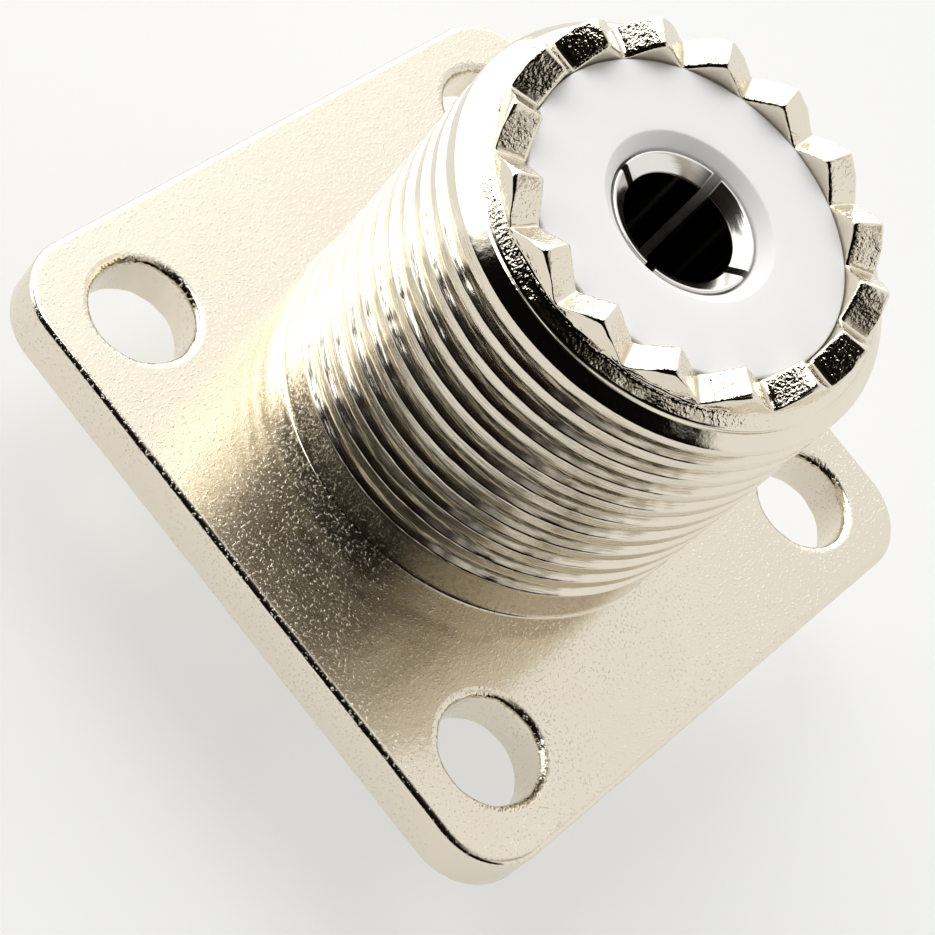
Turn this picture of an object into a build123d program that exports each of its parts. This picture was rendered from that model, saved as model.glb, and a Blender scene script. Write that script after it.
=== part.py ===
from build123d import *
import os
from math import cos, pi, radians, sin

# Panel socket for a screw-on coaxial plug, in millimetres.
# The origin is the centre of the flange's rear face, which sits on the panel.
# +Z runs along the barrel to the mouth. Everything below Z 0 is behind the flange.
# Steps and walls are radial.

# Flange
flange_side = 25.4
flange_thickness = 1.9
flange_corner_radius = 2.45
flange_edge_chamfer = 0.15
hole_spacing = 18.3
hole_diameter = 3.7
hole_rim_chamfer = 0.14

# Barrel and its right-hand external thread, 24 turns to the inch
barrel_height = 16.0
neck_length = 1.35
neck_foot_chamfer = 0.15
thread_diameter = 15.8
thread_pitch = 25.4 / 24
thread_depth = 0.5
thread_crest_width = 0.45
thread_start_angle = 9.0

# Toothed crown, and the shoulder between it and the thread
tooth_count = 16
tooth_depth = 1.0
tooth_crest_width = 0.05
crown_wall = 1.15
crown_rise = 1.4
crown_step = 0.375
crown_corner_chamfer = 0.25
crown_foot_chamfer = 0.12
ledge_rise = 0.12
ledge_step = 0.105
shoulder_chamfer = 0.42

# Bores of the shell, and the boss behind the flange
bore_floor_height = 2.4
bore_shelf_width = 1.25
boss_wall = 2.0
boss_length = 1.6
boss_corner_chamfer = 0.2

# Spring contact: slotted socket in front, solder cup behind
pin_bore_diameter = 4.0
pin_bore_depth = 11.0
finger_wall = 0.6
mouth_rim_width = 0.08
slot_count = 4
slot_width = 0.4
slot_length = 8.0
slot_angle = 13.5
collar_step = 0.5
collar_length = 1.2
collar_seat_height = 0.3
cup_diameter = 3.1
cup_wall = 0.45
cup_depth = 4.2
cup_mouth_chamfer = 0.2
tail_length = 3.5

# Insulator, and the split ring that holds it against the floor of the bore
face_recess = 1.0
contact_recess = 0.37
finger_clearance = 0.08
finger_mouth_chamfer = 0.3
fit_clearance = 0.03
ring_thickness = 0.6
ring_overlap = 0.9
ring_groove_depth = 0.45
ring_gap_width = 2.6
ring_land_length = 0.6

# How far a cutter stands past what it cuts
overcut = 0.3

# Radii of the shell, from the thread inwards
thread_radius = thread_diameter / 2
chamfer_top_radius = thread_radius - shoulder_chamfer
ledge_radius = chamfer_top_radius - ledge_step
crown_radius = ledge_radius - crown_step
bore_radius = crown_radius - crown_wall
rear_bore_radius = bore_radius - bore_shelf_width
boss_radius = rear_bore_radius + boss_wall

# Levels of the shell, from the tips of the teeth down
valley_height = barrel_height - tooth_depth
ledge_height = barrel_height - crown_rise
chamfer_top_height = ledge_height - ledge_rise
shoulder_height = chamfer_top_height - shoulder_chamfer
thread_start_height = flange_thickness + neck_length

# Radii and levels of what the shell holds
insulator_radius = bore_radius - fit_clearance
spigot_radius = rear_bore_radius - fit_clearance
ring_groove_radius = spigot_radius - ring_groove_depth
ring_inner_radius = ring_groove_radius + fit_clearance
ring_outer_radius = rear_bore_radius + ring_overlap
ring_top = -boss_length
ring_bottom = ring_top - ring_thickness
insulator_face_height = barrel_height - face_recess
insulator_rear_face = ring_bottom - ring_land_length
pin_bore_radius = pin_bore_diameter / 2
contact_radius = pin_bore_radius + finger_wall
finger_bore_radius = contact_radius + finger_clearance
collar_radius = contact_radius + collar_step
seat_radius = collar_radius + fit_clearance
collar_bottom = collar_seat_height - collar_length
contact_mouth_height = insulator_face_height - contact_recess
pin_bore_floor = contact_mouth_height - pin_bore_depth
mouth_radius = contact_radius - mouth_rim_width
mouth_taper = mouth_radius - pin_bore_radius
cup_radius = cup_diameter / 2
tail_radius = cup_radius + cup_wall
tail_end = insulator_rear_face - tail_length
cup_floor = tail_end + cup_depth

os.makedirs("parts", exist_ok=True)


# Cutter for one V notch of the crown, lying along +X.
# At the bore it leaves each tooth as wide as its crest.
notch_half_width = pi * bore_radius / tooth_count - tooth_crest_width / 2
with BuildPart() as notch_cutter:
    with BuildSketch(Plane.YZ.offset(bore_radius - 2 * overcut)) as notch_outline:
        with BuildLine() as notch_lines:
            Polyline(
                (-2 * notch_half_width, valley_height + 2 * tooth_depth),
                (0, valley_height),
                (2 * notch_half_width, valley_height + 2 * tooth_depth),
                close=True,
            )
        make_face()
    extrude(amount=crown_wall + 4 * overcut)


# Shell: flange, boss, threaded barrel and crown, cast in one piece
with BuildPart() as shell:
    with BuildSketch(Plane.XY) as flange_outline:
        RectangleRounded(flange_side, flange_side, flange_corner_radius)
        with GridLocations(hole_spacing, hole_spacing, 2, 2):
            Circle(hole_diameter / 2, mode=Mode.SUBTRACT)
    extrude(amount=flange_thickness)
    hole_rims = shell.faces().sort_by(Axis.Z)[-1].inner_wires().edges()
    chamfer(hole_rims, hole_rim_chamfer)
    flange_rim = shell.faces().sort_by(Axis.Z)[-1].outer_wire().edges()
    chamfer(flange_rim, flange_edge_chamfer)

    with BuildSketch(Plane.XZ) as barrel_profile:
        with BuildLine() as barrel_lines:
            Polyline(
                (0, -boss_length),
                (boss_radius - boss_corner_chamfer, -boss_length),
                (boss_radius, -boss_length + boss_corner_chamfer),
                (boss_radius, flange_thickness / 2),
                (thread_radius, flange_thickness / 2),
                (thread_radius, barrel_height),
                (0, barrel_height),
                close=True,
            )
        make_face()
    revolve(axis=Axis.Z)
    flange_front = shell.edges().filter_by(GeomType.CIRCLE).filter_by_position(
        Axis.Z, flange_thickness, flange_thickness)
    chamfer(flange_front.sort_by(SortBy.RADIUS)[-1], neck_foot_chamfer)

    # Helical V groove that leaves the thread standing
    groove_width = thread_pitch - thread_crest_width
    groove_half_width = groove_width / 2 * (thread_depth + overcut) / thread_depth
    groove_length = shoulder_height + thread_pitch - thread_start_height
    with BuildLine(Plane.XY.offset(thread_start_height).rotated((0, 0, thread_start_angle))) as groove_path:
        Helix(thread_pitch, groove_length, thread_radius)
    outwards = (cos(radians(thread_start_angle)), sin(radians(thread_start_angle)), 0)
    section_plane = Plane(origin=groove_path.line @ 0, x_dir=outwards, z_dir=groove_path.line % 0)
    with BuildSketch(section_plane) as groove_section:
        with BuildLine() as groove_lines:
            Polyline(
                (-thread_depth, 0),
                (overcut, -groove_half_width),
                (overcut, groove_half_width),
                close=True,
            )
        make_face()
    sweep(path=groove_path.line, is_frenet=True, mode=Mode.SUBTRACT)

    # Shoulder, ledge and crown, turned out of the threaded barrel
    with BuildSketch(Plane.XZ) as crown_profile:
        with BuildLine() as crown_lines:
            Polyline(
                (thread_radius + overcut, shoulder_height - overcut),
                (chamfer_top_radius, chamfer_top_height),
                (ledge_radius, chamfer_top_height),
                (ledge_radius, ledge_height),
                (crown_radius + crown_foot_chamfer, ledge_height),
                (crown_radius, ledge_height + crown_foot_chamfer),
                (crown_radius, barrel_height - crown_corner_chamfer),
                (crown_radius - crown_corner_chamfer - overcut, barrel_height + overcut),
                (thread_radius + overcut, barrel_height + overcut),
                close=True,
            )
        make_face()
    revolve(axis=Axis.Z, mode=Mode.SUBTRACT)

    with BuildSketch(Plane.XY.offset(barrel_height)) as bore_outline:
        Circle(bore_radius)
    extrude(amount=bore_floor_height - barrel_height, mode=Mode.SUBTRACT)
    with BuildSketch(Plane.XY.offset(-boss_length)) as rear_bore_outline:
        Circle(rear_bore_radius)
    extrude(amount=bore_floor_height + boss_length, mode=Mode.SUBTRACT)
    with PolarLocations(0, tooth_count):
        add(notch_cutter.part, mode=Mode.SUBTRACT)
shell.part.label = "shell"
export_step(shell.part, "parts/shell.step")


# Insulator: one white moulding, loaded from the mouth
with BuildPart() as insulator:
    with BuildSketch(Plane.XZ) as insulator_profile:
        with BuildLine() as insulator_lines:
            Polyline(
                (seat_radius, insulator_rear_face),
                (spigot_radius, insulator_rear_face),
                (spigot_radius, ring_bottom),
                (ring_groove_radius, ring_bottom),
                (ring_groove_radius, ring_top),
                (spigot_radius, ring_top),
                (spigot_radius, bore_floor_height),
                (insulator_radius, bore_floor_height),
                (insulator_radius, insulator_face_height),
                (finger_bore_radius, insulator_face_height),
                (finger_bore_radius, collar_seat_height),
                (seat_radius, collar_seat_height),
                close=True,
            )
        make_face()
        finger_mouth = insulator_profile.vertices().group_by(Axis.Y)[-1].sort_by(Axis.X)[0]
        chamfer(finger_mouth, finger_mouth_chamfer)
    revolve(axis=Axis.Z)
insulator.part.label = "insulator"
export_step(insulator.part, "parts/insulator.step")


# Contact: spring socket for the plug's pin, collar and solder cup
with BuildPart() as contact:
    with BuildSketch(Plane.XZ) as contact_profile:
        with BuildLine() as contact_lines:
            Polyline(
                (0, cup_floor),
                (cup_radius, cup_floor),
                (cup_radius, tail_end + cup_mouth_chamfer),
                (cup_radius + cup_mouth_chamfer, tail_end),
                (tail_radius, tail_end),
                (tail_radius, collar_bottom),
                (collar_radius, collar_bottom),
                (collar_radius, collar_seat_height),
                (contact_radius, collar_seat_height),
                (contact_radius, contact_mouth_height),
                (mouth_radius, contact_mouth_height),
                (pin_bore_radius, contact_mouth_height - mouth_taper),
                (pin_bore_radius, pin_bore_floor),
                (0, pin_bore_floor),
                close=True,
            )
        make_face()
    revolve(axis=Axis.Z)
    with BuildSketch(Plane.XY.offset(contact_mouth_height)) as slot_outline:
        with PolarLocations(0, slot_count, start_angle=slot_angle):
            Rectangle(contact_radius + overcut, slot_width, align=(Align.MIN, Align.CENTER))
    extrude(amount=-slot_length, mode=Mode.SUBTRACT)
contact.part.label = "contact"
export_step(contact.part, "parts/contact.step")


# Retaining ring: flat split ring in the insulator's groove, behind the boss
with BuildPart() as retaining_ring:
    with BuildSketch(Plane.XY.offset(ring_bottom)) as ring_outline:
        Circle(ring_outer_radius)
        Circle(ring_inner_radius, mode=Mode.SUBTRACT)
        Rectangle(ring_outer_radius + overcut, ring_gap_width,
                  align=(Align.MIN, Align.CENTER), mode=Mode.SUBTRACT)
    extrude(amount=ring_thickness)
retaining_ring.part.label = "retaining_ring"
export_step(retaining_ring.part, "parts/retaining_ring.step")
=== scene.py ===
import math
import bmesh
import bpy
import numpy as np
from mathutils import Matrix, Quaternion, Vector, noise
from mathutils.geometry import delaunay_2d_cdt


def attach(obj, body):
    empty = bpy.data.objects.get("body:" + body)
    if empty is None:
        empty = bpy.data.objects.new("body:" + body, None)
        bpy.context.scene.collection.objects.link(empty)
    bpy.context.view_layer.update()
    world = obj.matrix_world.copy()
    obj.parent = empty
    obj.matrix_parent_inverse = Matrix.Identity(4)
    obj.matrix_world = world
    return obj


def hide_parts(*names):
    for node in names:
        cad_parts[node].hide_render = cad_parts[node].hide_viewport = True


# Panel socket for a screw-on coaxial plug, dressed for a close view.
# All lengths here are in millimetres and become metres when a mesh is made.
# Noise scales in the materials are per metre.
# Profiles are lists of (radius, height), and +Z runs along the barrel to the mouth.
# A corner of a profile has a third number, the length of edge that its rounding takes.

MM = 0.001
TAU = 2 * math.pi

# Flange. SUPPORT is a narrow flat strip beside a rounding, which keeps the flat face's shading even.
FLANGE_SIDE = 25.4
FLANGE_THICKNESS = 1.9
FLANGE_CORNER = 2.45
FLANGE_CORNER_STEPS = 20
FLANGE_SIDE_STEPS = 60
FLANGE_FRONT_ROUNDING = 0.26
FLANGE_BACK_ROUNDING = 0.1
FLANGE_WAVE = 0.04
HOLE_PLACE = 9.15
HOLE_RADIUS = 1.85
HOLE_COLUMNS = 72
HOLE_ROUNDING = 0.34
HOLE_WAVE = 0.045
SUPPORT = 0.03

# Barrel and thread. Turns are shares of a full turn about the axis, from +X.
# Each groove has a row of points at its middle and at these offsets above and below it.
BARREL_COLUMNS = 288
THREAD_RADIUS = 7.9
THREAD_PITCH = 25.4 / 24
THREAD_START = 3.25
THREAD_START_TURN = 9 / 360
THREAD_RUN_IN = 0.08
THREAD_END = 13.8
THREAD_RUN_OUT = 0.3
GROOVE_COUNT = 10
GROOVE_DEPTH = 0.5
GROOVE_HALF_WIDTH = 0.28
GROOVE_ROW_OFFSETS = (0.045, 0.15, 0.262, 0.304, 0.345, 0.40)
GROOVE_ROOT_SOFTNESS = 0.03
GROOVE_TRIM = 0.02
CREST_SHARP_EDGE = 0.07
CREST_BLUNT_EDGE = 0.19
CREST_WANDER = 0.025
CREST_DENTS = 0.003
NECK_TOP = 2.15
NECK_ROWS = 4
FOOT_ROUNDING = 0.07
SHOULDER_HEIGHT = 14.06
SHOULDER_ROUNDING = 0.04
CHAMFER_TOP = 14.48
TOP_ROWS = 34

# Crown
CROWN_COLUMNS = 2 * BARREL_COLUMNS
CROWN_RADIUS = 7.0
LEDGE_CORNERS = [(7.48, CHAMFER_TOP, 0), (7.37, 14.49, 0.045), (7.33, 14.56, 0.03)]
COVE_START = 14.57
COVE_RADIUS = 7.03
CROWN_FOOT = 14.8
TOOTH_COUNT = 16
TOOTH_TOP = 16.0
VALLEY_HEIGHT = 15.0
NOTCH_SLOPE = 0.89
NOTCH_ROOT_ROUNDING = 0.06
NOTCH_SINK = 0.04
CREST_ROUNDING = 0.34
CREST_LIFT = 0.07
VALLEY_EDGE_ROUNDING = 0.06
TOOTH_EDGE_ROUNDING = 0.18
MOUTH_EDGE_ROUNDING = 0.15
CAST_RELIEF = 0.03
CAST_SWELL = 0.003

# Bores of the shell, and the boss behind the flange
BORE_RADIUS = 5.85
BORE_FLOOR = 2.4
REAR_BORE_RADIUS = 4.6
BOSS_RADIUS = 6.6
BOSS_END = -1.6
BOSS_FOOT_ROUNDING = 0.1

# Insulator, and the ring in its groove
INSULATOR_COLUMNS = 192
INSULATOR_RADIUS = 5.82
INSULATOR_FACE = 15.0
INSULATOR_REAR = -2.8
SPIGOT_RADIUS = 4.57
FINGER_BORE_RADIUS = 2.68
CONE_RADIUS = 3.13
CONE_FLOOR = 14.62
SEAT_RADIUS = 3.13
SEAT_HEIGHT = 0.3
RING_GROOVE_RADIUS = 4.12
RING_INNER_RADIUS = 4.15
RING_OUTER_RADIUS = 5.5
RING_TOP = BOSS_END
RING_BOTTOM = -2.2
RING_GAP = 2.6
RING_EDGE = 0.08
RING_ROWS = 121

# Contact
CONTACT_COLUMNS = 192
CONTACT_MOUTH = 14.63
CONTACT_RADIUS = 2.6
MOUTH_RADIUS = 2.5
FUNNEL_FLOOR = 14.24
PIN_RADIUS = 2.0
PIN_BORE_FLOOR = 3.63
COLLAR_RADIUS = 3.1
COLLAR_BOTTOM = -0.9
TAIL_RADIUS = 2.0
TAIL_END = -6.3
CUP_RADIUS = 1.55
CUP_FLOOR = -2.1
CUP_MOUTH_CHAMFER = 0.2
CAP_RADIUS = 0.3
SLOT_WIDTH = 0.34
SLOT_DEPTH = 8.0
SLOT_TURN = math.radians(13.5)
SLOT_EDGE = 0.03
CUTTER_LENGTH = 6.4
CUTTER_OVERSHOOT = 1.0

# Colours
NICKEL = (0.78, 0.708, 0.585, 1)
PALE_NICKEL = (0.82, 0.763, 0.645, 1)
PLASTIC = (0.92, 0.915, 0.925, 1)
PALE_PLASTIC = (0.95, 0.945, 0.955, 1)
CONTACT_PLATE = (0.76, 0.74, 0.70, 1)
PALE_CONTACT_PLATE = (0.84, 0.83, 0.80, 1)
# Painted shade: near-black colour for the inside of the contact's pin bore and solder cup.
PAINTED_BORE_SHADE = (0.2, 0.18, 0.16, 1)
SPRING_STEEL = (0.5, 0.49, 0.47, 1)
PALE_SPRING_STEEL = (0.6, 0.59, 0.57, 1)
PAPER = (0.48, 0.48, 0.465, 1)
PAPER_GLOW = (1, 1, 0.99, 1)
TENT_SHADED_SIDE = (0.95, 0.95, 0.94, 1)
TENT_LIT_SIDE = (2.2, 2.2, 2.17, 1)
TENT_DIM_STRIP = (0.45, 0.41, 0.33, 1)
TENT_DARK_TOP = (0.012, 0.009, 0.005, 1)
TENT_GAP = (0.003, 0.0024, 0.002, 1)

# Camera of the photograph, and the floor, which the contact's tail touches
CAMERA_PLACE = (-67.934, -8.837, 78.359)
CAMERA_AIM = (-5.393, -1.558, 7.5)
CAMERA_ROLL = 46.383
CAMERA_LENS = 114.22
CAMERA_SHIFT = (-0.0354, -0.0326)
FLOOR_HEIGHT = TAIL_END
FLOOR_HALF_SIDE = 90
FLOOR_GLOW_SHARE = 0.5


def ease(x):
    """0 below 0, 1 above 1, smooth between."""
    x = np.clip(x, 0, 1)
    return x * x * (3 - 2 * x)


def smooth_max(a, b, width):
    """The larger of two values, with the crossing rounded over width."""
    return 0.5 * (a + b + np.sqrt((a - b) ** 2 + width * width))


def smooth_min(a, b, width):
    """The smaller of two values, with the crossing rounded over width."""
    return -smooth_max(-a, -b, width)


def wobble(points, size, seed, octaves=2):
    """Smooth noise from -1 to 1 at each point, with features of about the given size."""
    shift = Vector((seed * 7.3, seed * 3.1, seed * 5.7))
    values = [noise.fractal(Vector(p) / size + shift, 1.0, 2.0, octaves) for p in points]
    return np.clip(np.array(values), -1, 1)


def rounded(corners, steps=4):
    """Profile through corners, each rounded from a cut before it to a cut after it."""
    out = [np.array(corners[0][:2], float)]
    for before, here, after in zip(corners, corners[1:], corners[2:]):
        p = np.array(here[:2], float)
        cut = here[2]
        if cut == 0:
            out.append(p)
            continue
        a = np.array(before[:2]) - p
        b = np.array(after[:2]) - p
        a = a / np.linalg.norm(a)
        b = b / np.linalg.norm(b)
        for s in np.linspace(0, 1, steps + 1):
            out.append(p + cut * ((1 - s) ** 2 * a + s ** 2 * b))
    out.append(np.array(corners[-1][:2], float))
    return out


def polar(radius, height, count):
    """Points of a ring, with one radius and height or one for each column."""
    angle = np.arange(count) * TAU / count
    return around_axis(angle, np.broadcast_to(radius, count), np.broadcast_to(height, count))


def around_axis(angle, radius, height):
    """Points at the given angles, radii and heights."""
    return np.stack([radius * np.cos(angle), radius * np.sin(angle), height], 1)


class Skin:
    """Points and faces of one closed mesh, gathered row by row."""

    def __init__(self):
        self.points = []
        self.faces = []
        self.zones = {"crinkle": [], "streak": []}

    def row(self, points, crinkle=0.0, streak=0.0):
        """Add points and give their numbers."""
        start = len(self.points)
        self.points.extend(tuple(p) for p in points)
        self.zones["crinkle"].extend(np.broadcast_to(crinkle, len(points)))
        self.zones["streak"].extend(np.broadcast_to(streak, len(points)))
        return list(range(start, len(self.points)))

    def band(self, low, high, closed=True):
        """Quads between two rows of as many points."""
        count = len(low)
        for i in range(count if closed else count - 1):
            j = (i + 1) % count
            self.faces.append((low[i], low[j], high[j], high[i]))

    def bands(self, rows, closed=True):
        """Quads between each row and the next."""
        for low, high in zip(rows, rows[1:]):
            self.band(low, high, closed)

    def halve(self, fine, coarse):
        """Faces between a row and one with half as many points."""
        count = len(coarse)
        for i in range(count):
            j = (i + 1) % count
            k = (2 * i + 2) % len(fine)
            self.faces.append((coarse[i], coarse[j], fine[k], fine[2 * i + 1], fine[2 * i]))

    def zip(self, left, right, level=0.006):
        """Faces between two upright chains whose points differ in number or height."""
        i = j = 0
        while i < len(left) - 1 or j < len(right) - 1:
            up_left = self.points[left[i + 1]][2] if i < len(left) - 1 else math.inf
            up_right = self.points[right[j + 1]][2] if j < len(right) - 1 else math.inf
            if abs(up_left - up_right) < level:
                self.faces.append((left[i], right[j], right[j + 1], left[i + 1]))
                i += 1
                j += 1
            elif up_left < up_right:
                self.faces.append((left[i], right[j], left[i + 1]))
                i += 1
            else:
                self.faces.append((left[i], right[j], right[j + 1]))
                j += 1

    def cap(self, row):
        """Close a row with one point at its middle."""
        middle = np.mean([self.points[i] for i in row], axis=0)
        tip = self.row([middle])[0]
        for i in range(len(row)):
            self.faces.append((row[i], row[(i + 1) % len(row)], tip))

    def fill(self, ring, outline, holes):
        """Flat triangles inside an outline and outside the round loops in it.
        A triangle with all its corners on one round loop lies inside that loop."""
        loops = [ring, outline, *holes]
        numbers = [i for loop in loops for i in loop]
        edges = []
        owners = []
        for owner, loop in enumerate(loops):
            start = len(owners)
            count = len(loop)
            edges += [(start + i, start + (i + 1) % count) for i in range(count)]
            owners += [owner] * count
        flat = [Vector(self.points[i][:2]) for i in numbers]
        found = delaunay_2d_cdt(flat, edges, [], 0, 1e-6)
        on_outline = {loops.index(outline)}
        for face in found[2]:
            corners = [found[3][i][0] for i in face]
            met = {owners[i] for i in corners}
            if len(met) > 1 or met == on_outline:
                self.faces.append([numbers[i] for i in corners])

    def revolve(self, profile, count):
        """Rows of a turned profile."""
        rows = [self.row(polar(r, z, count)) for r, z in profile]
        self.bands(rows)
        return rows

    def build(self, name, material):
        """Mesh object in metres that rides on the part's body."""
        mesh = bpy.data.meshes.new(name)
        points = [[c * MM for c in p] for p in self.points]
        mesh.from_pydata(points, [], [list(map(int, f)) for f in self.faces])
        for zone, values in self.zones.items():
            if any(values):
                layer = mesh.attributes.new(zone, "FLOAT", "POINT")
                layer.data.foreach_set("value", np.array(values, np.float32))
        shape = bmesh.new()
        shape.from_mesh(mesh)
        bmesh.ops.recalc_face_normals(shape, faces=shape.faces)
        for face in shape.faces:
            face.smooth = True
        shape.to_mesh(mesh)
        shape.free()
        piece = bpy.data.objects.new(name, mesh)
        bpy.context.scene.collection.objects.link(piece)
        mesh.materials.append(material)
        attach(piece, "root")
        return piece


# Shell: flange, threaded barrel, crown and boss as one closed mesh

def flange_loop(inset, height, wave):
    """Outline of the flange, moved inwards by inset and drawn uneven by wave."""
    half = FLANGE_SIDE / 2 - inset
    radius = FLANGE_CORNER - inset
    middle = half - radius
    quarter = []
    for angle in np.linspace(0, TAU / 4, FLANGE_CORNER_STEPS + 1):
        quarter.append((middle + radius * math.cos(angle), middle + radius * math.sin(angle)))
    for s in np.linspace(0, 1, FLANGE_SIDE_STEPS + 1)[1:-1]:
        quarter.append((middle * (1 - 2 * s), half))
    points = []
    for number in range(4):
        turn = number * TAU / 4
        cosine, sine = math.cos(turn), math.sin(turn)
        points += [(x * cosine - y * sine, x * sine + y * cosine, height) for x, y in quarter]
    loop = np.array(points)
    if wave:
        shift = 0.5 + 0.25 * wobble(loop, 1.8, 3) + 0.25 * wobble(loop, 0.45, 4)
        length = np.linalg.norm(loop[:, :2], axis=1)
        loop[:, :2] *= (1 - wave * shift / length)[:, None]
    return loop


def hole_loop(centre, radius, height, wave):
    """Ring around a hole, drawn ragged by wave."""
    loop = polar(radius, height, HOLE_COLUMNS)
    shift = np.array([*centre, 0])
    if wave:
        ragged = 0.6 * wobble(loop + shift, 0.9, 6) + 0.4 * wobble(loop + shift, 0.35, 7)
        loop[:, :2] *= (1 + wave * (ragged + 0.3) / radius)[:, None]
    return loop + shift


def uneven(section, wave):
    """Wave for each point of a section: none at the two points next to a flat face."""
    return [wave if 2 <= k < len(section) - 2 else 0.0 for k in range(len(section))]


def add_flange(skin, foot, boss):
    """Flange around the neck's foot in front and the boss behind."""
    front, back, rim = FLANGE_FRONT_ROUNDING, FLANGE_BACK_ROUNDING, HOLE_ROUNDING
    section = rounded([(front + SUPPORT, FLANGE_THICKNESS, 0), (0, FLANGE_THICKNESS, front),
                       (0, FLANGE_THICKNESS / 2, 0), (0, 0, back), (back + SUPPORT, 0, 0)], 5)
    outlines = [skin.row(flange_loop(inset, height, wave))
                for (inset, height), wave in zip(section, uneven(section, FLANGE_WAVE))]
    skin.bands(outlines)
    front_holes, back_holes = [], []
    steps = 5
    section = rounded([(HOLE_RADIUS + rim + SUPPORT, FLANGE_THICKNESS, 0),
                       (HOLE_RADIUS, FLANGE_THICKNESS, rim),
                       (HOLE_RADIUS, 0, back),
                       (HOLE_RADIUS + back + SUPPORT, 0, 0)], steps)
    for side_x, side_y in ((-1, 1), (-1, -1), (1, -1), (1, 1)):
        centre = (side_x * HOLE_PLACE, side_y * HOLE_PLACE)
        rows = []
        for k, wave in enumerate(uneven(section, HOLE_WAVE)):
            loop = hole_loop(centre, *section[k], wave)
            on_rim = 1 <= k <= steps + 1
            rows.append(skin.row(loop, crinkle=ease(0.6 + 1.6 * wobble(loop, 2.2, 9)) if on_rim else 0.0))
        skin.bands(rows)
        front_holes.append(rows[0])
        back_holes.append(rows[-1])
    skin.fill(foot, outlines[0], front_holes)
    skin.fill(boss, outlines[-1], back_holes)


def thread_lead(turn, height):
    """Height above the middle of the first groove at that turn."""
    return height - THREAD_START - (turn - THREAD_START_TURN) * THREAD_PITCH


def thread_surface(turn, height, wander, dent):
    """Radius of the barrel at a turn and a height, shoulder included."""
    lead = thread_lead(turn, height)
    groove = np.clip(np.round(lead / THREAD_PITCH), 0, GROOVE_COUNT)
    off = lead - groove * THREAD_PITCH + CREST_WANDER * wander
    across = np.sqrt(off * off + GROOVE_ROOT_SOFTNESS ** 2) - GROOVE_ROOT_SOFTNESS
    across = across / (GROOVE_HALF_WIDTH - GROOVE_TRIM)
    rounding = CREST_SHARP_EDGE + (CREST_BLUNT_EDGE - CREST_SHARP_EDGE) * ease(off / 0.2)
    depth = GROOVE_DEPTH * (smooth_max(1 - across, 0, rounding) - GROOVE_TRIM)
    depth = np.maximum(depth, 0) * ease((groove + turn - THREAD_START_TURN) / THREAD_RUN_IN)
    groove_height = height - lead + groove * THREAD_PITCH
    depth = depth * (1 - ease((groove_height - THREAD_END) / THREAD_RUN_OUT))
    shoulder = THREAD_RADIUS + SHOULDER_HEIGHT - height
    return smooth_min(THREAD_RADIUS - depth - CREST_DENTS * (1 + dent), shoulder, SHOULDER_ROUNDING)


def barrel_heights(turn):
    """Heights of the barrel's rows in one column, from the neck to the top of the shoulder."""
    first = THREAD_START + (turn - THREAD_START_TURN) * THREAD_PITCH
    heights = list(np.linspace(NECK_TOP, first - THREAD_PITCH / 2, NECK_ROWS + 2)[1:-1])
    below = [-offset for offset in reversed(GROOVE_ROW_OFFSETS)]
    offsets = [-THREAD_PITCH / 2, *below, 0.0, *GROOVE_ROW_OFFSETS]
    for groove in range(GROOVE_COUNT):
        heights += [first + groove * THREAD_PITCH + offset for offset in offsets]
    heights += list(np.linspace(heights[-1], CHAMFER_TOP, TOP_ROWS + 2)[1:-1])
    return heights


def add_barrel(skin):
    """Neck, thread and shoulder; gives the foot's row on the flange and the top row."""
    foot_profile = rounded([(THREAD_RADIUS + FOOT_ROUNDING + SUPPORT, FLANGE_THICKNESS, 0),
                            (THREAD_RADIUS, FLANGE_THICKNESS, FOOT_ROUNDING),
                            (THREAD_RADIUS, NECK_TOP, 0)])
    foot_rows = skin.revolve(foot_profile, BARREL_COLUMNS)
    turns = np.arange(BARREL_COLUMNS) / BARREL_COLUMNS
    rows = [foot_rows[-1]]
    for level in np.array([barrel_heights(turn) for turn in turns]).T:
        plain = polar(THREAD_RADIUS, level, BARREL_COLUMNS)
        radius = thread_surface(turns, level, wobble(plain, 0.7, 5), wobble(plain, 0.4, 8))
        past_neck = ease((thread_lead(turns, level) + 0.5) / 0.2)
        past_shoulder = ease((level - SHOULDER_HEIGHT + 0.08) / 0.1)
        streak = past_neck * (1 - past_shoulder)
        rows.append(skin.row(polar(radius, level, BARREL_COLUMNS), streak=streak))
    top_radius = THREAD_RADIUS + SHOULDER_HEIGHT - CHAMFER_TOP
    rows.append(skin.row(polar(top_radius, CHAMFER_TOP, BARREL_COLUMNS)))
    skin.bands(rows, closed=False)
    skin.zip([row[-1] for row in rows], [row[0] for row in rows])
    return foot_rows[0], rows[-1]


def crown_height(angle, radius):
    """Height of the crown's top: V notches whose middles lie at equal angles."""
    pitch = TAU / TOOTH_COUNT
    side = radius * np.sin((angle + pitch / 2) % pitch - pitch / 2)
    rise = np.sqrt(side * side + NOTCH_ROOT_ROUNDING ** 2) - NOTCH_SINK
    return smooth_min(VALLEY_HEIGHT + NOTCH_SLOPE * rise, TOOTH_TOP + CREST_LIFT, CREST_ROUNDING)


def flank_share(angle, radius):
    """1 in the middle of a notch's flank, 0 along its root and its crest."""
    rise = crown_height(angle, radius) - VALLEY_HEIGHT
    return ease((rise - 0.05) / 0.12) * ease((0.9 - rise) / 0.14)


def crown_points(angle, radius, height, relief):
    """Points of one row of the crown, uneven as cast, and roughened where relief is above 0."""
    points = around_axis(angle, radius, height)
    rough = 0.6 * wobble(points, 0.28, 11, 3) + 0.4 * wobble(points, 0.11, 12, 2)
    swell = wobble(points, 0.8, 14)
    uneven_height = points[:, 2] + CAST_RELIEF * relief * rough + CAST_RELIEF * (swell - 0.3)
    points[:, 2] = np.minimum(uneven_height, TOOTH_TOP)
    points[:, :2] *= (1 + CAST_SWELL * (wobble(points, 0.6, 15) - 0.4))[:, None]
    return points


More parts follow.
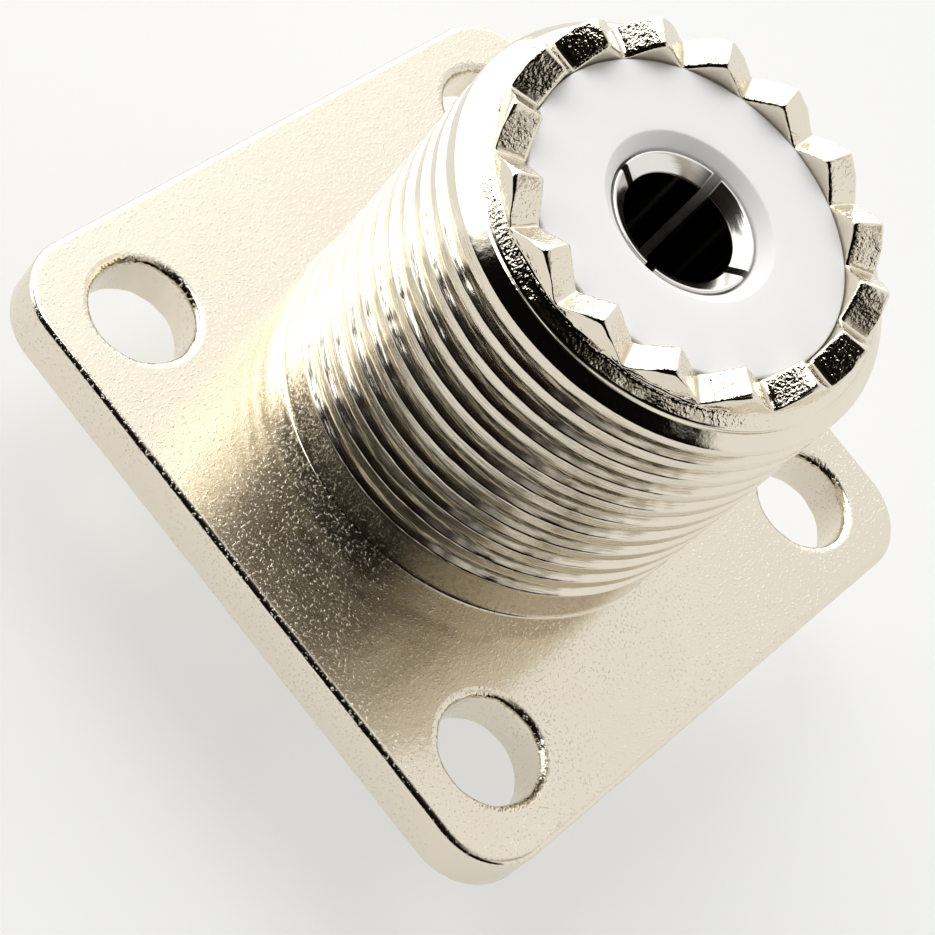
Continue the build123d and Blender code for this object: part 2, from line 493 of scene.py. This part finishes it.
def add_ledge(skin, top):
    """Ledge and pitted cove above the shoulder; gives the row at the crown's foot."""
    rows = [top]
    crown_corners = [(COVE_RADIUS, CROWN_FOOT, 0.05), (CROWN_RADIUS, CROWN_FOOT + 0.1, 0)]
    for radius, height in rounded(LEDGE_CORNERS + crown_corners)[1:]:
        pitted = float(height > COVE_START)
        points = polar(radius, height, BARREL_COLUMNS)
        rough = 0.7 + 0.5 * ease(0.5 + 1.4 * wobble(points, 3.0, 21))
        points[:, 2] += 0.02 * pitted * wobble(points, 0.3, 13) * (height < CROWN_FOOT)
        rows.append(skin.row(points, crinkle=rough * pitted))
    skin.bands(rows)
    return rows[-1]


def add_crown(skin, ledge):
    """Toothed crown on the ledge's last row; gives the row inside the mouth."""
    angle = np.arange(CROWN_COLUMNS) * TAU / CROWN_COLUMNS
    outside = np.full(CROWN_COLUMNS, CROWN_RADIUS)
    outer_top = crown_height(angle, CROWN_RADIUS)
    up_tooth = ease((outer_top - VALLEY_HEIGHT - 0.5) / 0.35)
    corner = VALLEY_EDGE_ROUNDING + (TOOTH_EDGE_ROUNDING - VALLEY_EDGE_ROUNDING) * up_tooth
    wall_top = outer_top - corner
    wall_foot = CROWN_FOOT + 0.11
    outer_edge = CROWN_RADIUS - corner
    inner_edge = BORE_RADIUS + MOUTH_EDGE_ROUNDING
    rows = []

    def add_row(radius, height, relief, crinkle):
        """Relief and crinkle are slight on walls and crests, and strong on the flanks."""
        rows.append(skin.row(crown_points(angle, radius, height, relief), crinkle=crinkle))

    for s in np.linspace(0, 1, 6)[:-1]:
        add_row(outside, wall_foot + s * (wall_top - wall_foot), 0.15, 0.2)
    for s in np.linspace(0, 1, 7):
        lean = s * TAU / 4
        radius = CROWN_RADIUS - corner * (1 - math.cos(lean))
        height = crown_height(angle, radius) - corner * (1 - math.sin(lean))
        share = flank_share(angle, radius) * ease((s - 0.5) / 0.5)
        add_row(radius, height, 0.15 + 0.6 * share, 0.12 + 0.88 * share)
    for s in np.linspace(0, 1, 9)[1:]:
        radius = outer_edge + s * (inner_edge - outer_edge)
        share = flank_share(angle, radius)
        add_row(radius, crown_height(angle, radius), 0.15 + 0.7 * share, 0.12 + 0.88 * share)
    for s in np.linspace(0, 1, 4)[1:]:
        lean = s * TAU / 4
        radius = np.full(CROWN_COLUMNS, inner_edge - MOUTH_EDGE_ROUNDING * math.sin(lean))
        height = crown_height(angle, radius) - MOUTH_EDGE_ROUNDING * (1 - math.cos(lean))
        share = flank_share(angle, radius) * (1 - s)
        add_row(radius, height, 0.15 * (1 - s), 0.1 + 0.8 * share)
    wall = crown_height(angle, BORE_RADIUS) - MOUTH_EDGE_ROUNDING
    for s in np.linspace(0, 1, 5)[1:]:
        height = wall + s * (VALLEY_HEIGHT - 0.2 - wall)
        rows.append(skin.row(polar(BORE_RADIUS, height, CROWN_COLUMNS), crinkle=0.1))
    skin.halve(rows[0], ledge)
    skin.bands(rows)
    return rows[-1]


def add_bores(skin, mouth):
    """Bore, shelf, rear bore and boss; gives the boss's row on the flange."""
    profile = rounded([(BORE_RADIUS, VALLEY_HEIGHT - 0.3, 0), (BORE_RADIUS, BORE_FLOOR, 0.15),
                       (REAR_BORE_RADIUS, BORE_FLOOR, 0.08), (REAR_BORE_RADIUS, BOSS_END, 0.08),
                       (BOSS_RADIUS, BOSS_END, 0.22), (BOSS_RADIUS, 0, BOSS_FOOT_ROUNDING),
                       (BOSS_RADIUS + BOSS_FOOT_ROUNDING + SUPPORT, 0, 0)], 3)
    rows = skin.revolve(profile, BARREL_COLUMNS)
    skin.halve(mouth, rows[0])
    return rows[-1]


def make_shell(material):
    skin = Skin()
    foot, shoulder = add_barrel(skin)
    ledge = add_ledge(skin, shoulder)
    mouth = add_crown(skin, ledge)
    boss = add_bores(skin, mouth)
    add_flange(skin, foot, boss)
    piece = skin.build("shell_casting", material)
    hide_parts("shell")


# Insulator: one moulding with a rounded cone around the contact

def make_insulator(material):
    start = (SEAT_RADIUS, -1.2, 0)
    corners = [start, (SEAT_RADIUS, INSULATOR_REAR, 0.06), (SPIGOT_RADIUS, INSULATOR_REAR, 0.1),
               (SPIGOT_RADIUS, RING_BOTTOM, 0.03), (RING_GROOVE_RADIUS, RING_BOTTOM, 0.03),
               (RING_GROOVE_RADIUS, RING_TOP, 0.03), (SPIGOT_RADIUS, RING_TOP, 0.03),
               (SPIGOT_RADIUS, BORE_FLOOR, 0.03), (INSULATOR_RADIUS, BORE_FLOOR, 0.12),
               (INSULATOR_RADIUS, INSULATOR_FACE, 0.1), (CONE_RADIUS, INSULATOR_FACE, 0.05),
               (FINGER_BORE_RADIUS, CONE_FLOOR, 0.08), (FINGER_BORE_RADIUS, SEAT_HEIGHT, 0.03),
               (SEAT_RADIUS, SEAT_HEIGHT, 0.03), start]
    skin = Skin()
    rows = skin.revolve(rounded(corners, 5)[:-1], INSULATOR_COLUMNS)
    skin.band(rows[-1], rows[0])
    piece = skin.build("insulator_moulding", material)
    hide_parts("insulator")


# Contact: turned socket with four slots, collar and solder cup

def make_contact(material):
    corners = [(CUP_RADIUS, CUP_FLOOR, 0), (CUP_RADIUS, TAIL_END + CUP_MOUTH_CHAMFER, 0.04),
               (CUP_RADIUS + CUP_MOUTH_CHAMFER, TAIL_END, 0.04), (TAIL_RADIUS, TAIL_END, 0.06),
               (TAIL_RADIUS, COLLAR_BOTTOM, 0.04), (COLLAR_RADIUS, COLLAR_BOTTOM, 0.06),
               (COLLAR_RADIUS, SEAT_HEIGHT, 0.06), (CONTACT_RADIUS, SEAT_HEIGHT, 0.04),
               (CONTACT_RADIUS, CONTACT_MOUTH, 0.05), (MOUTH_RADIUS, CONTACT_MOUTH, 0.03),
               (PIN_RADIUS, FUNNEL_FLOOR, 0.05), (PIN_RADIUS, PIN_BORE_FLOOR, 0.1),
               (CAP_RADIUS, PIN_BORE_FLOOR, 0)]
    skin = Skin()
    rows = skin.revolve(rounded(corners), CONTACT_COLUMNS)
    skin.cap(rows[0])
    skin.cap(rows[-1])
    piece = skin.build("contact_socket", material)
    cut_slots(piece)
    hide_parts("contact")


def cut_slots(piece):
    """Four slots in the socket's wall, with their edges rounded. Each cutter makes two of them."""
    shape = bmesh.new()
    size = Vector((CUTTER_LENGTH, SLOT_WIDTH, SLOT_DEPTH + CUTTER_OVERSHOOT)) * MM
    middle = Vector((0, 0, CONTACT_MOUTH - SLOT_DEPTH / 2 + CUTTER_OVERSHOOT / 2)) * MM
    for number in range(2):
        made = bmesh.ops.create_cube(shape, size=1.0)["verts"]
        bmesh.ops.scale(shape, vec=size, verts=made)
        bmesh.ops.translate(shape, vec=middle, verts=made)
        turn = Quaternion((0, 0, 1), SLOT_TURN + number * TAU / 4).to_matrix()
        bmesh.ops.rotate(shape, cent=(0, 0, 0), matrix=turn, verts=made)
    cutter_mesh = bpy.data.meshes.new("slot_cutter")
    shape.to_mesh(cutter_mesh)
    shape.free()
    cutter = bpy.data.objects.new("slot_cutter", cutter_mesh)
    bpy.context.scene.collection.objects.link(cutter)
    cut = piece.modifiers.new("slots", "BOOLEAN")
    cut.object = cutter
    cut.operation = "DIFFERENCE"
    cut.use_self = True
    soften = piece.modifiers.new("edges", "BEVEL")
    soften.width = SLOT_EDGE * MM
    soften.segments = 2
    soften.limit_method = "ANGLE"
    soften.angle_limit = math.radians(40)
    apply_modifiers(piece)
    bpy.data.objects.remove(cutter)


def apply_modifiers(piece):
    """Put the mesh that the modifiers make in the piece's place."""
    graph = bpy.context.evaluated_depsgraph_get()
    graph.update()
    mesh = bpy.data.meshes.new_from_object(piece.evaluated_get(graph))
    piece.modifiers.clear()
    piece.data = mesh


# Retaining ring: split ring with rounded edges

def make_ring(material):
    start = (RING_INNER_RADIUS, (RING_TOP + RING_BOTTOM) / 2, 0)
    section = rounded([start,
                       (RING_INNER_RADIUS, RING_TOP, RING_EDGE),
                       (RING_OUTER_RADIUS, RING_TOP, RING_EDGE),
                       (RING_OUTER_RADIUS, RING_BOTTOM, RING_EDGE),
                       (RING_INNER_RADIUS, RING_BOTTOM, RING_EDGE),
                       start], 3)[:-1]
    radius, height = np.array(section).T
    half_gap = np.arcsin(RING_GAP / 2 / radius)
    skin = Skin()
    rows = []
    for s in np.linspace(0, 1, RING_ROWS):
        angle = half_gap + s * (TAU - 2 * half_gap)
        rows.append(skin.row(around_axis(angle, radius, height)))
    skin.bands(rows)
    skin.cap(rows[0])
    skin.cap(rows[-1])
    piece = skin.build("retaining_ring_spring", material)
    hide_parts("retaining_ring")


# Materials

class Nodes:
    """Short way to add and join the nodes of one material or world."""

    def __init__(self, owner):
        owner.use_nodes = True
        self.owner = owner
        self.tree = owner.node_tree

    def add(self, kind, inputs=None, **settings):
        node = self.tree.nodes.new(kind)
        for key, value in settings.items():
            setattr(node, key, value)
        for key, value in (inputs or {}).items():
            self.put(value, node.inputs[key])
        return node

    def put(self, value, socket):
        """Join an output to the socket, or set the socket's value."""
        if isinstance(value, bpy.types.NodeSocket):
            self.tree.links.new(value, socket)
        else:
            socket.default_value = value

    def math(self, operation, a, b=0.0):
        return self.add("ShaderNodeMath", {0: a, 1: b}, operation=operation).outputs[0]

    def times(self, a, b):
        return self.math("MULTIPLY", a, b)

    def vector(self, operation, a, b=(0, 0, 0)):
        return self.add("ShaderNodeVectorMath", {0: a, 1: b}, operation=operation).outputs

    def parts(self, vector):
        """The X, Y and Z of a vector."""
        return self.add("ShaderNodeSeparateXYZ", {0: vector}).outputs

    def blend(self, share, a, b):
        """Colour a where share is 0 and b where it is 1."""
        return self.add("ShaderNodeMix", {"Factor": share, 6: a, 7: b}, data_type="RGBA").outputs[2]

    def span(self, value, low, high):
        """Map 0..1 to low..high."""
        return self.add("ShaderNodeMapRange", {"Value": value, "To Min": low, "To Max": high}).outputs[0]

    def ramp(self, value, start, end):
        """0 at start, 1 at end, smooth between."""
        return self.add("ShaderNodeMapRange", {"Value": value, "From Min": start, "From Max": end},
                        interpolation_type="SMOOTHSTEP").outputs[0]

    def noise(self, scale, vector, detail=3.0, rough=0.55):
        inputs = {"Scale": scale, "Vector": vector, "Detail": detail, "Roughness": rough}
        return self.add("ShaderNodeTexNoise", inputs).outputs["Fac"]

    def place(self):
        return self.add("ShaderNodeTexCoord").outputs["Object"]

    def zone(self, name):
        return self.add("ShaderNodeAttribute", attribute_name=name).outputs["Fac"]

    def lines(self, along, across, detail, rough=0.55):
        """Noise drawn out round the axis, along and across being its scales in the two directions."""
        place = self.parts(self.place())
        angle = self.math("ARCTAN2", place["Y"], place["X"])
        sine = self.math("SINE", angle)
        cosine = self.math("COSINE", angle)
        inputs = {"X": self.times(sine, along), "Y": self.times(cosine, along),
                  "Z": self.times(place["Z"], across)}
        return self.noise(1.0, self.add("ShaderNodeCombineXYZ", inputs).outputs[0], detail, rough)

    def bump(self, height, strength, distance, before=None):
        inputs = {"Height": height, "Strength": strength, "Distance": distance}
        if before is not None:
            inputs["Normal"] = before
        return self.add("ShaderNodeBump", inputs).outputs[0]

    def surface(self, **values):
        """Set the inputs of the material's shader, and give the material."""
        shader = self.tree.nodes["Principled BSDF"]
        for key, value in values.items():
            self.put(value, shader.inputs[key.replace("_", " ")])
        return self.owner


def plated_metal():
    """Warm nickel plate over a casting: grained, streaked round the thread, crinkled on the teeth."""
    n = Nodes(bpy.data.materials.new("plated_metal"))
    place = n.place()
    streak = n.zone("streak")
    crinkled = n.zone("crinkle")
    below_thread = n.ramp(n.parts(place)["Z"], 3.4 * MM, 3.2 * MM)
    patches = n.noise(300, place, detail=3.0, rough=0.5)
    grain = n.noise(5000, place, detail=2.0, rough=0.5)
    specks = n.ramp(n.noise(9000, place, detail=2.0, rough=0.5), 0.585, 0.7)
    crinkle = n.noise(8000, place, detail=1.5)
    lines = n.lines(along=3.0, across=16000.0, detail=3.0, rough=0.6)
    tint = n.blend(patches, NICKEL, PALE_NICKEL)
    roughness = n.math("ADD", n.span(below_thread, 0.08, 0.15), n.times(streak, 0.08))
    uneven_wear = n.span(n.ramp(patches, 0.38, 0.6), 0.45, 1.0)
    plain = n.math("SUBTRACT", 1.0, n.math("MAXIMUM", crinkled, n.times(streak, 0.9)))
    normal = n.bump(grain, n.times(plain, 0.35), 0.016 * MM)
    normal = n.bump(specks, n.times(n.times(plain, below_thread), uneven_wear), 0.012 * MM, normal)
    normal = n.bump(lines, streak, 0.012 * MM, normal)
    normal = n.bump(crinkle, crinkled, 0.04 * MM, normal)
    return n.surface(Base_Color=tint, Metallic=1.0, Roughness=roughness, Normal=normal)


def white_plastic():
    """Smooth white moulding that lets a little light in."""
    n = Nodes(bpy.data.materials.new("white_plastic"))
    place = n.place()
    tint = n.blend(n.noise(350, place, detail=2.0), PLASTIC, PALE_PLASTIC)
    roughness = n.span(n.noise(2500, place), 0.38, 0.52)
    normal = n.bump(n.noise(4000, place), 0.12, 0.01 * MM)
    return n.surface(Base_Color=tint, Roughness=roughness, Normal=normal, Subsurface_Weight=0.3,
                     Subsurface_Radius=(1.0, 1.0, 1.0), Subsurface_Scale=0.6 * MM)


def contact_metal():
    """Bright plate over turned brass, with fine turning lines, and painted shade that turns the colour
    near black within the pin bore's radius, solder cup included.
    """
    n = Nodes(bpy.data.materials.new("contact_metal"))
    place = n.place()
    radius = n.vector("LENGTH", n.vector("MULTIPLY", place, (1, 1, 0))[0])["Value"]
    lines = n.lines(along=1.5, across=14000.0, detail=2.0)
    patches = n.noise(900, place, detail=3.0)
    tint = n.blend(patches, CONTACT_PLATE, PALE_CONTACT_PLATE)
    # Painted shade: within the pin bore's radius the colour goes near black, as if the bore and the
    # solder cup lay in shadow.
    bore_shade = n.ramp(radius, (PIN_RADIUS + 0.06) * MM, PIN_RADIUS * MM)
    tint = n.blend(bore_shade, tint, PAINTED_BORE_SHADE)
    normal = n.bump(lines, 0.3, 0.01 * MM)
    return n.surface(Base_Color=tint, Metallic=1.0, Roughness=n.span(patches, 0.1, 0.2), Normal=normal)


def ring_metal():
    """Plain spring steel, faintly brushed."""
    n = Nodes(bpy.data.materials.new("ring_metal"))
    lines = n.lines(along=30.0, across=3000.0, detail=3.0)
    tint = n.blend(lines, SPRING_STEEL, PALE_SPRING_STEEL)
    normal = n.bump(lines, 0.2, 0.01 * MM)
    return n.surface(Base_Color=tint, Metallic=1.0, Roughness=n.span(lines, 0.25, 0.4), Normal=normal)


# Floor, light and camera

def make_floor():
    """Pale floor that keeps the object's shadow, and glows a little for the camera and for metal."""
    mesh = bpy.data.meshes.new("floor")
    half, height = FLOOR_HALF_SIDE * MM, FLOOR_HEIGHT * MM
    corners = [(-half, -half, height), (half, -half, height), (half, half, height), (-half, half, height)]
    mesh.from_pydata(corners, [], [(0, 1, 2, 3)])
    floor = bpy.data.objects.new("floor", mesh)
    bpy.context.scene.collection.objects.link(floor)
    n = Nodes(bpy.data.materials.new("floor_white"))
    n.tree.nodes.clear()
    paper = n.add("ShaderNodeBsdfDiffuse", {"Color": PAPER}).outputs[0]
    path = n.add("ShaderNodeLightPath").outputs
    seen = n.math("MAXIMUM", path["Is Camera Ray"], path["Is Glossy Ray"])
    strength = n.times(seen, FLOOR_GLOW_SHARE)
    glow = n.add("ShaderNodeEmission", {"Color": PAPER_GLOW, "Strength": strength}).outputs[0]
    both = n.add("ShaderNodeAddShader", {0: paper, 1: glow}).outputs[0]
    n.add("ShaderNodeOutputMaterial", {"Surface": both})
    mesh.materials.append(n.owner)


def direction(azimuth, elevation):
    """Unit vector from the part, for angles in degrees, with azimuth from +X towards +Y."""
    a, e = math.radians(azimuth), math.radians(elevation)
    return Vector((math.cos(e) * math.cos(a), math.cos(e) * math.sin(a), math.sin(e)))


def make_world():
    """White tent, brighter on its +Y side, with dark places where the photographer stood.
    Turn is the azimuth measured from -X, the side that the camera is on, and up is the elevation."""
    world = bpy.data.worlds.new("tent")
    bpy.context.scene.world = world
    n = Nodes(world)
    n.tree.nodes.clear()
    unit = n.vector("NORMALIZE", n.add("ShaderNodeTexCoord").outputs["Generated"])[0]
    ahead = n.parts(unit)
    up = n.math("ARCSINE", ahead["Z"])
    behind = n.parts(n.vector("MULTIPLY", unit, (-1, -1, -1))[0])
    turn = n.math("ARCTAN2", behind["Y"], behind["X"])

    def window(value, rise, fall):
        """1 between two smooth edges, given in degrees as (start, end)."""
        edges = [math.radians(degrees) for degrees in rise + fall]
        return n.times(n.ramp(value, edges[0], edges[1]), n.ramp(value, edges[3], edges[2]))

    def blob(azimuth, elevation, inside, outside):
        """1 within an angle of a direction, 0 beyond the larger angle, all in degrees."""
        near = n.vector("DOT_PRODUCT", unit, tuple(direction(azimuth, elevation)))["Value"]
        return n.ramp(near, math.cos(math.radians(outside)), math.cos(math.radians(inside)))

    # A dim strip and a dark top lie high up. The gap has a low end and a brow over it.
    tent = n.blend(n.ramp(ahead["Y"], 0.0, 0.62), TENT_SHADED_SIDE, TENT_LIT_SIDE)
    dim = n.times(window(turn, (10, 40), (140, 160)), window(up, (44, 48), (54, 62)))
    gap = n.times(window(turn, (-60, -42), (68, 84)), window(up, (-25, -12), (46, 50)))
    high = n.times(blob(146, 60, 28, 52), window(up, (38, 45), (100, 110)))
    low_gap = n.times(window(turn, (50, 60), (80, 92)), window(up, (-25, -12), (30, 38)))
    brow = n.times(window(turn, (-66, -48), (22, 36)), window(up, (42, 46), (56, 62)))
    seen = n.blend(dim, tent, TENT_DIM_STRIP)
    seen = n.blend(high, seen, TENT_DARK_TOP)
    for dark in (brow, gap, low_gap):
        seen = n.blend(dark, seen, TENT_GAP)
    lit = n.add("ShaderNodeBackground", {"Color": seen, "Strength": 1.0}).outputs[0]
    plain = n.add("ShaderNodeBackground", {"Color": (1, 1, 1, 1), "Strength": 1.0}).outputs[0]
    camera = n.add("ShaderNodeLightPath").outputs["Is Camera Ray"]
    mixed = n.add("ShaderNodeMixShader", {0: camera, 1: lit, 2: plain}).outputs[0]
    n.add("ShaderNodeOutputWorld", {"Surface": mixed})


def make_lamp(name, azimuth, elevation, distance, size, power, colour):
    """Round lamp that points at the part's origin, distance and size in millimetres."""
    lamp = bpy.data.lights.new(name, "AREA")
    lamp.shape = "DISK"
    lamp.size = size * MM
    lamp.energy = power
    lamp.color = colour
    holder = bpy.data.objects.new(name, lamp)
    aim = direction(azimuth, elevation)
    holder.location = aim * distance * MM
    holder.rotation_euler = aim.to_track_quat("Z", "Y").to_euler()
    bpy.context.scene.collection.objects.link(holder)


def make_camera():
    """Camera at the photograph's place and angle."""
    camera = bpy.data.cameras.new("camera")
    camera.lens = CAMERA_LENS
    camera.sensor_width = 36.0
    camera.shift_x, camera.shift_y = CAMERA_SHIFT
    camera.clip_start = 0.001
    holder = bpy.data.objects.new("camera", camera)
    place = Vector(CAMERA_PLACE) * MM
    aim = Vector(CAMERA_AIM) * MM
    level = (aim - place).to_track_quat("-Z", "Y")
    holder.rotation_mode = "QUATERNION"
    holder.rotation_quaternion = level @ Quaternion((0, 0, 1), math.radians(CAMERA_ROLL))
    holder.location = place
    bpy.context.scene.collection.objects.link(holder)
    bpy.context.scene.camera = holder


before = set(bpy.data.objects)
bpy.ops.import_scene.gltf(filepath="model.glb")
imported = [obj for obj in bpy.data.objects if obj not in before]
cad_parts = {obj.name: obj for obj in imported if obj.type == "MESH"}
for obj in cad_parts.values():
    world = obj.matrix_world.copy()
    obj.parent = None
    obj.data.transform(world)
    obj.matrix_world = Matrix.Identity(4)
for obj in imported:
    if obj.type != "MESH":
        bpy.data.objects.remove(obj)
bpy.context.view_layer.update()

make_shell(plated_metal())
make_insulator(white_plastic())
make_contact(contact_metal())
make_ring(ring_metal())
make_floor()
make_world()
make_lamp("key", azimuth=85, elevation=62, distance=220, size=120, power=0.13, colour=(1.0, 0.99, 0.98))
make_camera()
bpy.context.scene.view_settings.view_transform = "Standard"
